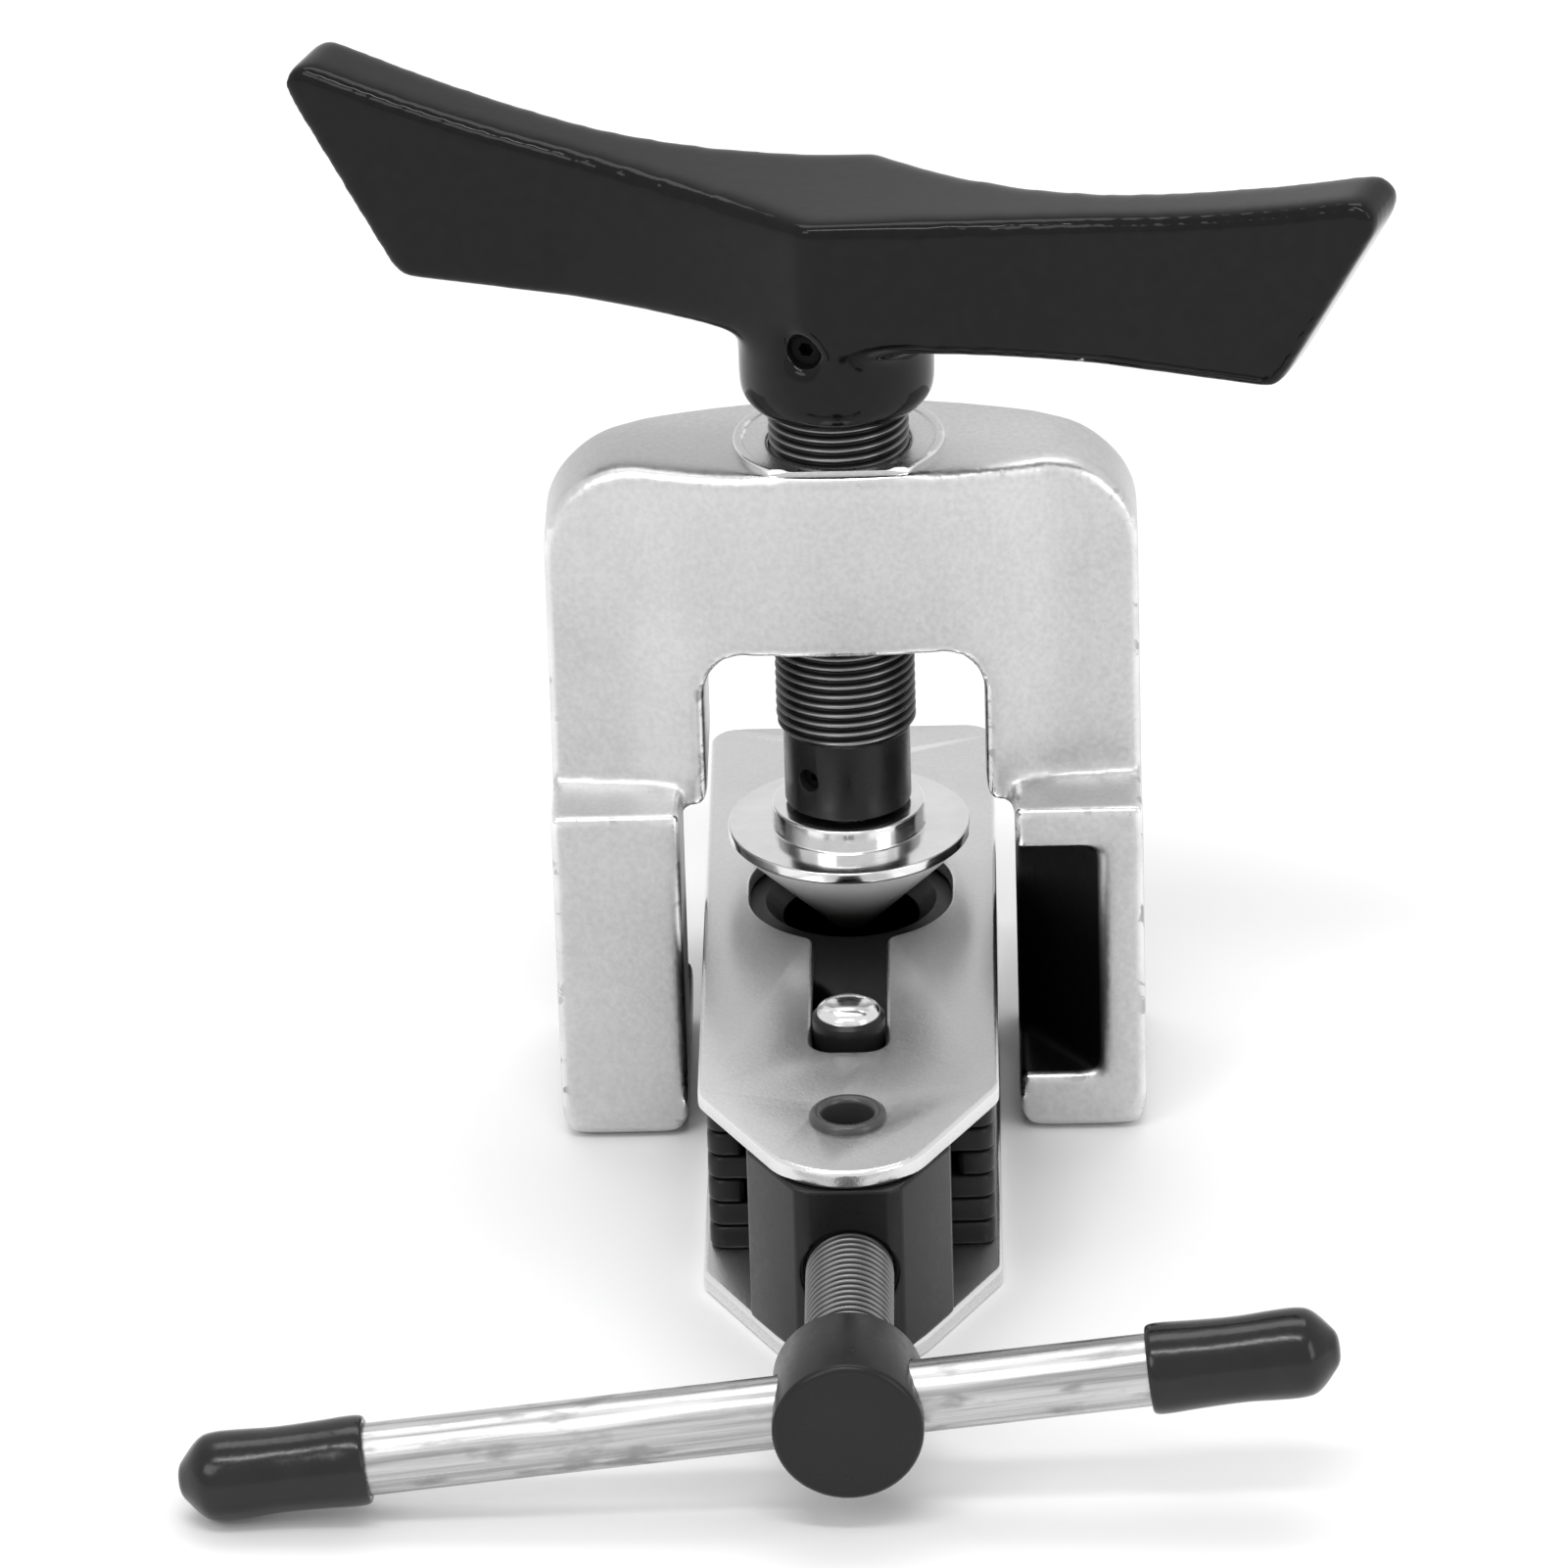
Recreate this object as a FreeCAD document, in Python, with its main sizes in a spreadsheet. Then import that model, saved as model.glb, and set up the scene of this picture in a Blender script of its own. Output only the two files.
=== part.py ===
import FreeCAD, Part
import math
import os

import Sketcher
from FreeCAD import Placement, Rotation, Vector

# Flaring tool: a stack of swinging die leaves between two plates grips the tube,
# and a feed screw in a yoke drives a 45 degree cone into the tube's end.
# Frame: +X right, +Y to the back, +Z up along the feed axis. The tube's axis is
# X = Y = 0 and Z = 0 is the surface that the bottom plate and the yoke's feet stand on.

doc = FreeCAD.newDocument("FlaringTool")

# ---------------------------------------------------------------- driving sizes
SIZES = {
    # die body plates, seen from above
    "plate_half_width": 17.0,
    "plate_back": 41.4,
    "plate_shoulder": -52.2,
    "plate_point": -83.2,
    "plate_point_radius": 10.2,
    "plate_corner_radius": 3.5,
    "plate_thickness": 2.3,
    "key_radius": 11.8,
    "key_length": 3.5,
    "slot_half_width": 4.25,
    "slot_front": -43.0,
    "slot_corner_radius": 2.5,
    "slot_mouth_radius": 1.6,
    # die leaves
    "leaf_pitch": 3.0,
    "leaf_gap": 0.03,
    "leaf_half_width": 16.3,
    "leaf_back": 41.0,
    "leaf_front": -47.0,
    "leaf_corner_radius": 1.8,
    "leaf_waist": 13.2,
    "leaf_waist_front": -19.0,
    "leaf_waist_back": 12.0,
    "aperture_radius": 8.0,
    "aperture_chamfer": 0.3,
    "seat_depth": 2.0,
    "pivot_place": 33.5,
    "pivot_radius": 3.0,
    "running_gap": 0.03,
    "swing_degrees": 6.5,
    # clamp pin and its travel
    "pin_place": -37.0,
    "pin_radius": 4.0,
    "pin_gap": 0.15,
    "pin_travel": 12.0,
    "collar_radius": 4.15,
    "collar_top": 27.4,
    "dome_radius": 3.65,
    "dome_rise": 1.5,
    # nut block
    "nut_front": -72.5,
    "nut_front_half_width": 5.55,
    "nut_shoulder": -62.4,
    "nut_half_width": 11.4,
    "nut_back": -50.0,
    "nut_chamfer": 1.0,
    "nut_countersink": 1.1,
    # rivets
    "rivet_place": -59.1,
    "rivet_shank_radius": 3.6,
    "rivet_hole_radius": 2.9,
    "rivet_head_radius": 4.4,
    "rivet_head_rise": 0.9,
    "rivet_depth": 4.7,
    "rivet_recess": 1.0,
    "pivot_hole_radius": 1.9,
    # clamp screw and its bar
    "clamp_thread_radius": 4.95,
    "clamp_bore_radius": 5.0,
    "clamp_tip_radius": 2.5,
    "clamp_tip_end": -36.8,
    "clamp_thread_start": -62.0,
    "clamp_thread_end": -91.0,
    "clamp_neck_radius": 4.5,
    "clamp_head_back": -95.9,
    "clamp_head_front": -108.4,
    "clamp_head_radius": 8.3,
    "clamp_head_chamfer": 0.5,
    "snap_groove_place": -39.5,
    "snap_groove_radius": 1.65,
    "snap_outer_radius": 3.05,
    "snap_thickness": 0.7,
    "bar_place": -101.7,
    "bar_radius": 4.0,
    "bar_hole_radius": 4.04,
    "bar_tilt": 6.3,
    "bar_left": -71.5,
    "bar_right": 51.5,
    "cap_left": -74.0,
    "cap_right": 54.0,
    "cap_length": 21.0,
    "cap_radius": 5.0,
    "cap_waist": 4.75,
    "cap_nose": 1.6,
    # yoke
    "yoke_half_width": 34.1,
    "yoke_height": 82.0,
    "yoke_corner_radius": 10.5,
    "arch_half_width": 16.1,
    "arch_ceiling": 59.3,
    "arch_corner_radius": 5.0,
    "arm_bottom": 39.5,
    "arm_half_depth": 6.0,
    "front_depth": 10.9,
    "front_taper": 24.0,
    "front_taper_depth": 6.6,
    "back_depth": 13.3,
    "back_taper": 25.0,
    "back_taper_depth": 8.2,
    "leg_inner": 19.3,
    "leg_half_depth": 15.7,
    "leg_height": 42.0,
    "leg_corner_radius": 2.0,
    "hook_bottom": 7.7,
    "hook_top": 37.0,
    "hook_outer": 30.5,
    "hook_overrun": 1.5,
    "hook_depth": 0.8,
    "yoke_bore_radius": 8.2,
    "yoke_ring_radius": 12.3,
    "yoke_ring_rise": 0.8,
    # feed screw
    "feed_thread_radius": 8.12,
    "feed_thread_bottom": 47.2,
    "feed_thread_top": 91.0,
    "feed_spigot_radius": 6.5,
    "feed_spigot_top": 107.0,
    "sleeve_radius": 7.35,
    "sleeve_bottom": 36.9,
    "socket_radius": 4.05,
    "socket_top": 52.6,
    "sleeve_screw_height": 41.5,
    "sleeve_screw_radius": 1.35,
    "sleeve_screw_inner": 3.35,
    "sleeve_screw_outer": 6.2,
    "sleeve_screw_degrees": -38.0,
    # flaring cone
    "cone_tip": 18.2,
    "cone_radius": 14.0,
    "rim_radius": 14.1,
    "rim_rise": 1.3,
    "hub_radius": 8.9,
    "hub_rise": 2.8,
    "shank_radius": 4.0,
    "shank_top": 45.0,
    "shank_groove_radius": 3.2,
    "shank_groove_half": 1.4,
    "ball_radius": 3.75,
    "ball_gap": 0.02,
    # handle
    "handle_yaw": -20.1,
    "handle_offset": 1.0,
    "handle_bottom": 97.3,
    "handle_saddle": 113.6,
    "left_rise": 10.8,
    "left_reach": 69.5,
    "right_rise": 9.6,
    "right_reach": 68.0,
    "handle_foot": 53.3,
    "handle_foot_radius": 2.2,
    "handle_tip_radius": 2.6,
    "handle_tip_half": 5.1,
    "handle_neck": 32.0,
    "handle_neck_half": 4.5,
    "handle_flank": 14.0,
    "handle_flank_half": 7.4,
    "handle_hub_half": 12.1,
    "boss_radius": 11.3,
    "boss_bottom": 87.0,
    "boss_chamfer": 2.0,
    "handle_screw_height": 97.5,
    "handle_screw_radius": 2.0,
    "handle_screw_inner": 6.55,
    "handle_screw_outer": 9.6,
    "hex_socket_radius": 0.9,
    "hex_socket_depth": 1.6,
    "hair_gap": 0.1,
    "small_chamfer": 0.4,
    "edge_break": 0.5,
    "fine_chamfer": 0.3,
    "cap_shoulder": 0.6,
    "snap_half_width": 0.45,
    "snap_gap": 0.05,
    "screw_overrun": 0.2,
    "overcut": 1.0,
    "dome_foot": 0.15,
    "stem_step": 0.6,
    "through_all": 400.0,
    "handle_gap": 0.05,
}
LEAF_COUNT = 7
STACK = "(Size.plate_thickness + %d * Size.leaf_pitch)" % LEAF_COUNT
BODY_TOP = "(2 * Size.plate_thickness + %d * Size.leaf_pitch)" % LEAF_COUNT
MIDDLE = "(Size.plate_thickness + %s * Size.leaf_pitch)" % (LEAF_COUNT / 2)

sheet = doc.addObject("Spreadsheet::Sheet", "Size")
for row, (alias, number) in enumerate(SIZES.items(), start=1):
    sheet.set("A%d" % row, alias)
    sheet.set("B%d" % row, str(number))
    sheet.setAlias("B%d" % row, alias)
doc.recompute()

PARTS = []


# ---------------------------------------------------------------- building helpers
def body_of(name):
    """A PartDesign body that is one finished sub-part."""
    body = doc.addObject("PartDesign::Body", name)
    body.Label = name
    PARTS.append(body)
    return body


def finished(part, name):
    """Mark a Part object as one finished sub-part."""
    part.Label = name
    PARTS.append(part)
    return part


def move(item, x="0", y="0", z="0"):
    for axis, text in (("x", x), ("y", y), ("z", z)):
        if text != "0":
            item.setExpression("Placement.Base." + axis, text)


def sketch_in(body, name, role="XY_Plane", lift="0"):
    """A sketch on one of the body's own origin planes, lifted along the plane's normal."""
    sketch = body.newObject("Sketcher::SketchObject", body.Name + "_" + name)
    plane = [item for item in body.Origin.OriginFeatures if item.Role == role][0]
    sketch.AttachmentSupport = [(plane, "")]
    sketch.MapMode = "FlatFace"
    if lift != "0":
        sketch.setExpression("AttachmentOffset.Base.z", lift)
    return sketch


def place_point(sketch, edge, position, start, x, y):
    """Hold one sketch point at an expression's distance from the sketch's origin."""
    for kind, text, now in (("DistanceX", x, start.x), ("DistanceY", y, start.y)):
        index = sketch.addConstraint(Sketcher.Constraint(kind, -1, 1, edge, position, now))
        sketch.setExpression("Constraints[%d]" % index, text)


def add_polygon(sketch, points):
    """A closed outline whose corners are pairs of expressions."""
    first = len(sketch.Geometry)
    count = len(points)
    turns = [2 * math.pi * step / count for step in range(count)]
    starts = [Vector(10 * math.cos(turn), 10 * math.sin(turn), 0) for turn in turns]
    for step in range(count):
        sketch.addGeometry(Part.LineSegment(starts[step], starts[(step + 1) % count]), False)
    for step in range(count):
        following = first + (step + 1) % count
        sketch.addConstraint(Sketcher.Constraint("Coincident", first + step, 2, following, 1))
    for step, (x, y) in enumerate(points):
        place_point(sketch, first + step, 1, starts[step], x, y)


def add_circle(sketch, radius, x="0", y="0"):
    start = Vector(1, 1, 0)
    edge = sketch.addGeometry(Part.Circle(start, Vector(0, 0, 1), 5), False)
    place_point(sketch, edge, 3, start, x, y)
    index = sketch.addConstraint(Sketcher.Constraint("Radius", edge, 5))
    sketch.setExpression("Constraints[%d]" % index, radius)


def mirrored(points):
    """The given right-hand points followed by their mirror images in the Y axis."""
    return points + [("-" + x, y) for x, y in reversed(points) if x != "0"]


def pad(body, sketch, length, both_ways=False):
    feature = body.newObject("PartDesign::Pad", sketch.Name + "_pad")
    feature.Profile = sketch
    feature.Midplane = both_ways
    feature.setExpression("Length", length)
    doc.recompute()
    return feature


def pocket(body, sketch, length="200", both_ways=True, reverse=False):
    """Cut the sketch out of the body and make sure that it did cut."""
    before = body.Shape.Volume
    feature = body.newObject("PartDesign::Pocket", sketch.Name + "_cut")
    feature.Profile = sketch
    feature.Midplane = both_ways
    feature.Reversed = reverse
    feature.setExpression("Length", length)
    doc.recompute()
    if not body.Shape.Volume < before - 0.01:
        raise RuntimeError(feature.Name + " removed nothing")
    return feature


def turned(body, points):
    """A solid of revolution about the sketch's upright axis, from (radius, height) pairs."""
    sketch = sketch_in(body, "profile", "XZ_Plane")
    add_polygon(sketch, points)
    feature = body.newObject("PartDesign::Revolution", sketch.Name + "_turn")
    feature.Profile = sketch
    feature.ReferenceAxis = (sketch, ["V_Axis"])
    feature.Angle = 360
    doc.recompute()
    return feature


def upright_edges(shape, x, y, tolerance=0.05):
    """Names of the edges along Z that pass through (x, y)."""
    names = []
    for number, edge in enumerate(shape.Edges, start=1):
        ends = [vertex.Point for vertex in edge.Vertexes]
        if len(ends) == 2 and abs(ends[0].z - ends[1].z) > 0.5:
            if all(math.hypot(end.x - x, end.y - y) < tolerance for end in ends):
                names.append("Edge%d" % number)
    return names


def round_corners(body, corners, radius):
    """Fillet the body's upright edges at the given corners."""
    names = []
    for x, y in corners:
        names += upright_edges(body.Shape, x, y)
    if len(names) < len(corners):
        raise RuntimeError(body.Name + " has no edge at a corner to round")
    base = body.Tip
    feature = body.newObject("PartDesign::Fillet", base.Name + "_round")
    feature.Base = (base, names)
    feature.setExpression("Radius", radius)
    doc.recompute()


size = SIZES


# ---------------------------------------------------------------- die body
def plate_outline(sketch):
    add_polygon(sketch, [
        ("Size.plate_half_width", "Size.plate_back"),
        ("Size.plate_half_width", "Size.plate_shoulder"),
        ("0", "Size.plate_point"),
        ("-Size.plate_half_width", "Size.plate_shoulder"),
        ("-Size.plate_half_width", "Size.plate_back"),
    ])


def make_plate(name, height, recess_height):
    """A side plate with the keyhole, the pin's slot and the two rivet holes."""
    body = body_of(name)
    outline = sketch_in(body, "outline")
    plate_outline(outline)
    pad(body, outline, "Size.plate_thickness")
    half = size["plate_half_width"]
    round_corners(body, [(half, size["plate_back"]), (-half, size["plate_back"])],
                  "Size.plate_corner_radius")
    round_corners(body, [(half, size["plate_shoulder"]), (-half, size["plate_shoulder"])],
                  "Size.plate_corner_radius")
    round_corners(body, [(0, size["plate_point"])], "Size.plate_point_radius")
    slot = sketch_in(body, "slot")
    add_polygon(slot, mirrored([("Size.slot_half_width", "-Size.key_radius / 2"),
                                ("Size.slot_half_width", "Size.slot_front")]))
    pocket(body, slot)
    slot_side = size["slot_half_width"]
    round_corners(body, [(slot_side, size["slot_front"]), (-slot_side, size["slot_front"])],
                  "Size.slot_corner_radius")
    for number, place in enumerate(("0", "-Size.key_length")):
        hole = sketch_in(body, "key%d" % number)
        add_circle(hole, "Size.key_radius", y=place)
        pocket(body, hole)
    middle = sketch_in(body, "key_middle")
    add_polygon(middle, mirrored([("Size.key_radius", "0"), ("Size.key_radius", "-Size.key_length")]))
    pocket(body, middle)
    mouth = size["key_radius"] ** 2 - slot_side ** 2
    mouth_place = -size["key_length"] - math.sqrt(mouth)
    round_corners(body, [(slot_side, mouth_place), (-slot_side, mouth_place)],
                  "Size.slot_mouth_radius")
    for label, place, radius in (("front", "Size.rivet_place", "Size.rivet_shank_radius"),
                                 ("pivot", "Size.pivot_place", "Size.pivot_radius")):
        hole = sketch_in(body, label + "_hole")
        add_circle(hole, radius, y=place)
        pocket(body, hole)
        if recess_height:
            recess = sketch_in(body, label + "_recess")
            add_circle(recess, "Size.rivet_head_radius + Size.hair_gap", y=place)
            pocket(body, recess, "2 * Size.rivet_recess")
    move(body, z=height)


def cam_slot(sketch, side):
    """The clamp pin's path in the leaf's own frame, as a slot with round ends.

    The pin goes straight back while the leaf swings, so the path bends to one side.
    """
    reach = size["pivot_place"] - size["pin_place"]
    half = size["pin_radius"] + size["pin_gap"]
    path = []
    for share in (0.0, 0.5, 1.0):
        arm = reach - share * size["pin_travel"]
        swing = math.radians(share * size["swing_degrees"])
        path.append(Vector(-side * arm * math.sin(swing),
                           size["pivot_place"] - arm * math.cos(swing), 0))
    centre = Part.Arc(*path).toShape().Curve.Center
    outward = [(point - centre).normalize() * half for point in path]
    outer = [point + step for point, step in zip(path, outward)]
    inner = [point - step for point, step in zip(path, outward)]
    front_cap = path[0] + square_to(outward[0], path[0] - path[1])
    back_cap = path[2] + square_to(outward[2], path[2] - path[1])
    sketch.addGeometry(Part.Arc(*outer), False)
    sketch.addGeometry(Part.Arc(*inner), False)
    sketch.addGeometry(Part.Arc(outer[0], front_cap, inner[0]), False)
    sketch.addGeometry(Part.Arc(outer[2], back_cap, inner[2]), False)


def square_to(step, onward):
    """The step turned a quarter, to the side that onward points to."""
    quarter = Vector(-step.y, step.x, 0)
    return quarter if quarter.dot(onward) > 0 else quarter * -1


def make_leaf(number):
    """One die leaf. Odd leaves swing to +X and even ones to -X."""
    side = 1 if number % 2 else -1
    sign = "" if side > 0 else "-"
    other = "-" if side > 0 else ""
    body = body_of("die_leaf_%d" % number)
    outline = sketch_in(body, "outline")
    add_polygon(outline, [
        (sign + "Size.leaf_half_width", "Size.leaf_back"),
        (sign + "Size.leaf_half_width", "Size.leaf_waist_back"),
        (sign + "Size.leaf_waist", "Size.leaf_waist_front + 1.4"),
        (sign + "Size.leaf_half_width", "Size.leaf_waist_front"),
        (sign + "Size.leaf_half_width", "Size.leaf_front"),
        (other + "Size.leaf_half_width", "Size.leaf_front"),
        (other + "Size.leaf_half_width", "Size.leaf_back"),
    ])
    thickness = "Size.leaf_pitch - 2 * Size.leaf_gap"
    pad(body, outline, thickness)
    half = size["leaf_half_width"]
    front = size["leaf_front"]
    back = size["leaf_back"]
    round_corners(body, [(half, front), (-half, front)], "Size.leaf_corner_radius")
    round_corners(body, [(half, back), (-half, back)], "Size.plate_corner_radius")
    pivot = sketch_in(body, "pivot")
    add_circle(pivot, "Size.pivot_radius + Size.running_gap", y="Size.pivot_place")
    pocket(body, pivot)
    aperture = sketch_in(body, "aperture")
    add_circle(aperture, "Size.aperture_radius")
    pocket(body, aperture)
    chamfer_aperture(body)
    slot = sketch_in(body, "slot")
    cam_slot(slot, side)
    pocket(body, slot)
    if abs(number - (LEAF_COUNT + 1) / 2) <= 1:
        mouth = sketch_in(body, "mouth")
        add_polygon(mouth, [
            (sign + "(Size.clamp_tip_radius + Size.edge_break)", "Size.pin_place"),
            (sign + "(Size.clamp_tip_radius + Size.edge_break)", "Size.leaf_front - Size.overcut"),
            (other + "(Size.clamp_tip_radius + 9.9)", "Size.leaf_front - Size.overcut"),
            (other + "(Size.clamp_tip_radius + 7.2)", "Size.pin_place + 9"),
            (other + "(Size.clamp_tip_radius + 1.5)", "Size.pin_place + 4"),
        ])
        pocket(body, mouth)
    if number == LEAF_COUNT:
        seat = sketch_in(body, "seat", "XZ_Plane")
        add_polygon(seat, [
            ("0", thickness + " - Size.seat_depth"),
            ("Size.aperture_radius", thickness + " - Size.seat_depth"),
            ("Size.aperture_radius + Size.seat_depth", thickness),
            ("0", thickness),
        ])
        before = body.Shape.Volume
        groove = body.newObject("PartDesign::Groove", "flare_seat")
        groove.Profile = seat
        groove.ReferenceAxis = (seat, ["V_Axis"])
        groove.Angle = 360
        doc.recompute()
        if not body.Shape.Volume < before - 1:
            raise RuntimeError("the flare seat removed nothing")
    move(body, z="Size.plate_thickness + %d * Size.leaf_pitch + Size.leaf_gap" % (number - 1))


def chamfer_aperture(body):
    """Break both rims of the leaf's tube hole."""
    names = []
    for number, edge in enumerate(body.Shape.Edges, start=1):
        round_edge = isinstance(edge.Curve, Part.Circle)
        if round_edge and abs(edge.Curve.Radius - size["aperture_radius"]) < 0.001:
            names.append("Edge%d" % number)
    base = body.Tip
    feature = body.newObject("PartDesign::Chamfer", base.Name + "_chamfer")
    feature.Base = (base, names)
    feature.setExpression("Size", "Size.aperture_chamfer")
    doc.recompute()


def make_nut_block():
    """The block that carries the clamp screw, flush with the plates' point."""
    body = body_of("nut_block")
    height = "%d * Size.leaf_pitch" % LEAF_COUNT
    outline = sketch_in(body, "outline")
    add_polygon(outline, mirrored([
        ("Size.nut_front_half_width", "Size.nut_front"),
        ("Size.nut_half_width", "Size.nut_shoulder"),
        ("Size.nut_half_width", "Size.nut_back"),
    ]))
    pad(body, outline, height)
    names = []
    for side in (-1, 1):
        names += upright_edges(body.Shape, side * size["nut_front_half_width"], size["nut_front"])
    base = body.Tip
    chamfer = body.newObject("PartDesign::Chamfer", "nut_block_chamfer")
    chamfer.Base = (base, names)
    chamfer.setExpression("Size", "Size.nut_chamfer")
    doc.recompute()
    bore = sketch_in(body, "bore", "XZ_Plane")
    add_circle(bore, "Size.clamp_bore_radius", y=height + " / 2")
    pocket(body, bore, "300")
    sink = sketch_in(body, "sink", "XZ_Plane", "-Size.nut_front")
    add_circle(sink, "Size.clamp_bore_radius + Size.edge_break", y=height + " / 2")
    pocket(body, sink, "2 * Size.nut_countersink")
    for label, level in (("low", "0"), ("high", height)):
        hole = sketch_in(body, label + "_rivet_hole", lift=level)
        add_circle(hole, "Size.rivet_shank_radius", y="Size.rivet_place")
        pocket(body, hole, "2 * Size.rivet_depth")
    move(body, z="Size.plate_thickness")


def make_rivets():
    """Two short tubular rivets hold the nut block and one long one is the leaves' pivot."""
    root = "Size.plate_thickness + Size.rivet_depth"
    low_head = [
        ("Size.rivet_head_radius", "Size.rivet_recess"),
        ("Size.rivet_head_radius", "0.5 * Size.rivet_recess"),
        ("Size.rivet_head_radius - Size.small_chamfer", "Size.hair_gap"),
    ]
    top = body_of("front_rivet_top")
    turned(top, [
        ("Size.rivet_hole_radius", "-(%s)" % root),
        ("Size.rivet_shank_radius", "-(%s)" % root),
        ("Size.rivet_shank_radius", "0"),
        ("Size.rivet_head_radius", "0"),
        ("Size.rivet_head_radius", "0.6 * Size.rivet_head_rise"),
        ("Size.rivet_head_radius - Size.small_chamfer", "Size.rivet_head_rise"),
        ("Size.rivet_hole_radius", "Size.rivet_head_rise"),
    ])
    move(top, y="Size.rivet_place", z=BODY_TOP)
    bottom = body_of("front_rivet_bottom")
    turned(bottom, [
        ("Size.rivet_hole_radius", root),
        ("Size.rivet_shank_radius", root),
        ("Size.rivet_shank_radius", "Size.rivet_recess"),
    ] + low_head + [("Size.rivet_hole_radius", "Size.hair_gap")])
    move(bottom, y="Size.rivet_place")
    pivot = body_of("rear_pivot_rivet")
    turned(pivot, [
        ("Size.pivot_radius", BODY_TOP),
        ("Size.pivot_radius", "Size.rivet_recess"),
    ] + low_head + [
        ("Size.pivot_hole_radius", "Size.hair_gap"),
        ("Size.pivot_hole_radius", BODY_TOP + " + Size.rivet_head_rise"),
        ("Size.rivet_head_radius - Size.small_chamfer", BODY_TOP + " + Size.rivet_head_rise"),
        ("Size.rivet_head_radius", BODY_TOP + " + 0.6 * Size.rivet_head_rise"),
        ("Size.rivet_head_radius", BODY_TOP),
    ])
    move(pivot, y="Size.pivot_place")


# ---------------------------------------------------------------- clamp pin
def make_clamp_pin():
    """The pin that the clamp screw pushes back, with a socket for the screw's tip."""
    stem = "Size.pin_radius - Size.stem_step"
    body = body_of("clamp_pin")
    turned(body, [
        ("0", "Size.rivet_recess"),
        (stem, "Size.rivet_recess"),
        (stem, "Size.plate_thickness"),
        ("Size.pin_radius", "Size.plate_thickness"),
        ("Size.pin_radius", STACK),
        (stem, STACK),
        (stem, "Size.collar_top"),
        ("0", "Size.collar_top"),
    ])
    socket = sketch_in(body, "socket", "XZ_Plane", "-0.5")
    add_circle(socket, "Size.clamp_tip_radius + Size.snap_gap", y=MIDDLE)
    pocket(body, socket, "Size.pin_radius + Size.overcut", both_ways=False, reverse=True)
    groove = sketch_in(body, "ring_groove", "XZ_Plane", "Size.pin_place - Size.snap_groove_place")
    add_circle(groove, "Size.snap_outer_radius", y=MIDDLE)
    pocket(body, groove, "Size.snap_thickness")
    move(body, y="Size.pin_place")
    top_collar = body_of("pin_collar_top")
    turned(top_collar, [
        (stem, STACK),
        ("Size.collar_radius", STACK),
        ("Size.collar_radius", "Size.collar_top - Size.small_chamfer"),
        ("Size.collar_radius - Size.small_chamfer", "Size.collar_top"),
        (stem, "Size.collar_top"),
    ])
    move(top_collar, y="Size.pin_place")
    bottom_collar = body_of("pin_collar_bottom")
    turned(bottom_collar, [
        ("0", "Size.hair_gap"),
        ("Size.collar_radius - Size.fine_chamfer", "Size.hair_gap"),
        ("Size.collar_radius", "0.4"),
        ("Size.collar_radius", "Size.plate_thickness"),
        (stem, "Size.plate_thickness"),
        (stem, "Size.rivet_recess"),
        ("0", "Size.rivet_recess"),
    ])
    move(bottom_collar, y="Size.pin_place")
    dome = body_of("pin_dome")
    steps = 8
    points = [("0", "0"), ("Size.dome_radius", "0")]
    for step in range(steps):
        turn = math.radians(90.0 * step / steps)
        points.append(("Size.dome_radius * %.4f" % math.cos(turn),
                       "Size.dome_foot + Size.dome_rise * %.4f" % math.sin(turn)))
    points.append(("0", "Size.dome_foot + Size.dome_rise"))
    turned(dome, points)
    move(dome, y="Size.pin_place", z="Size.collar_top")
    ring = body_of("snap_ring")
    outer = sketch_in(ring, "outer", "XZ_Plane")
    add_circle(outer, "Size.snap_outer_radius")
    add_circle(outer, "Size.snap_groove_radius + Size.hair_gap")
    pad(ring, outer, "Size.snap_thickness", both_ways=True)
    move(ring, y="Size.snap_groove_place", z=MIDDLE)


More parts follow.
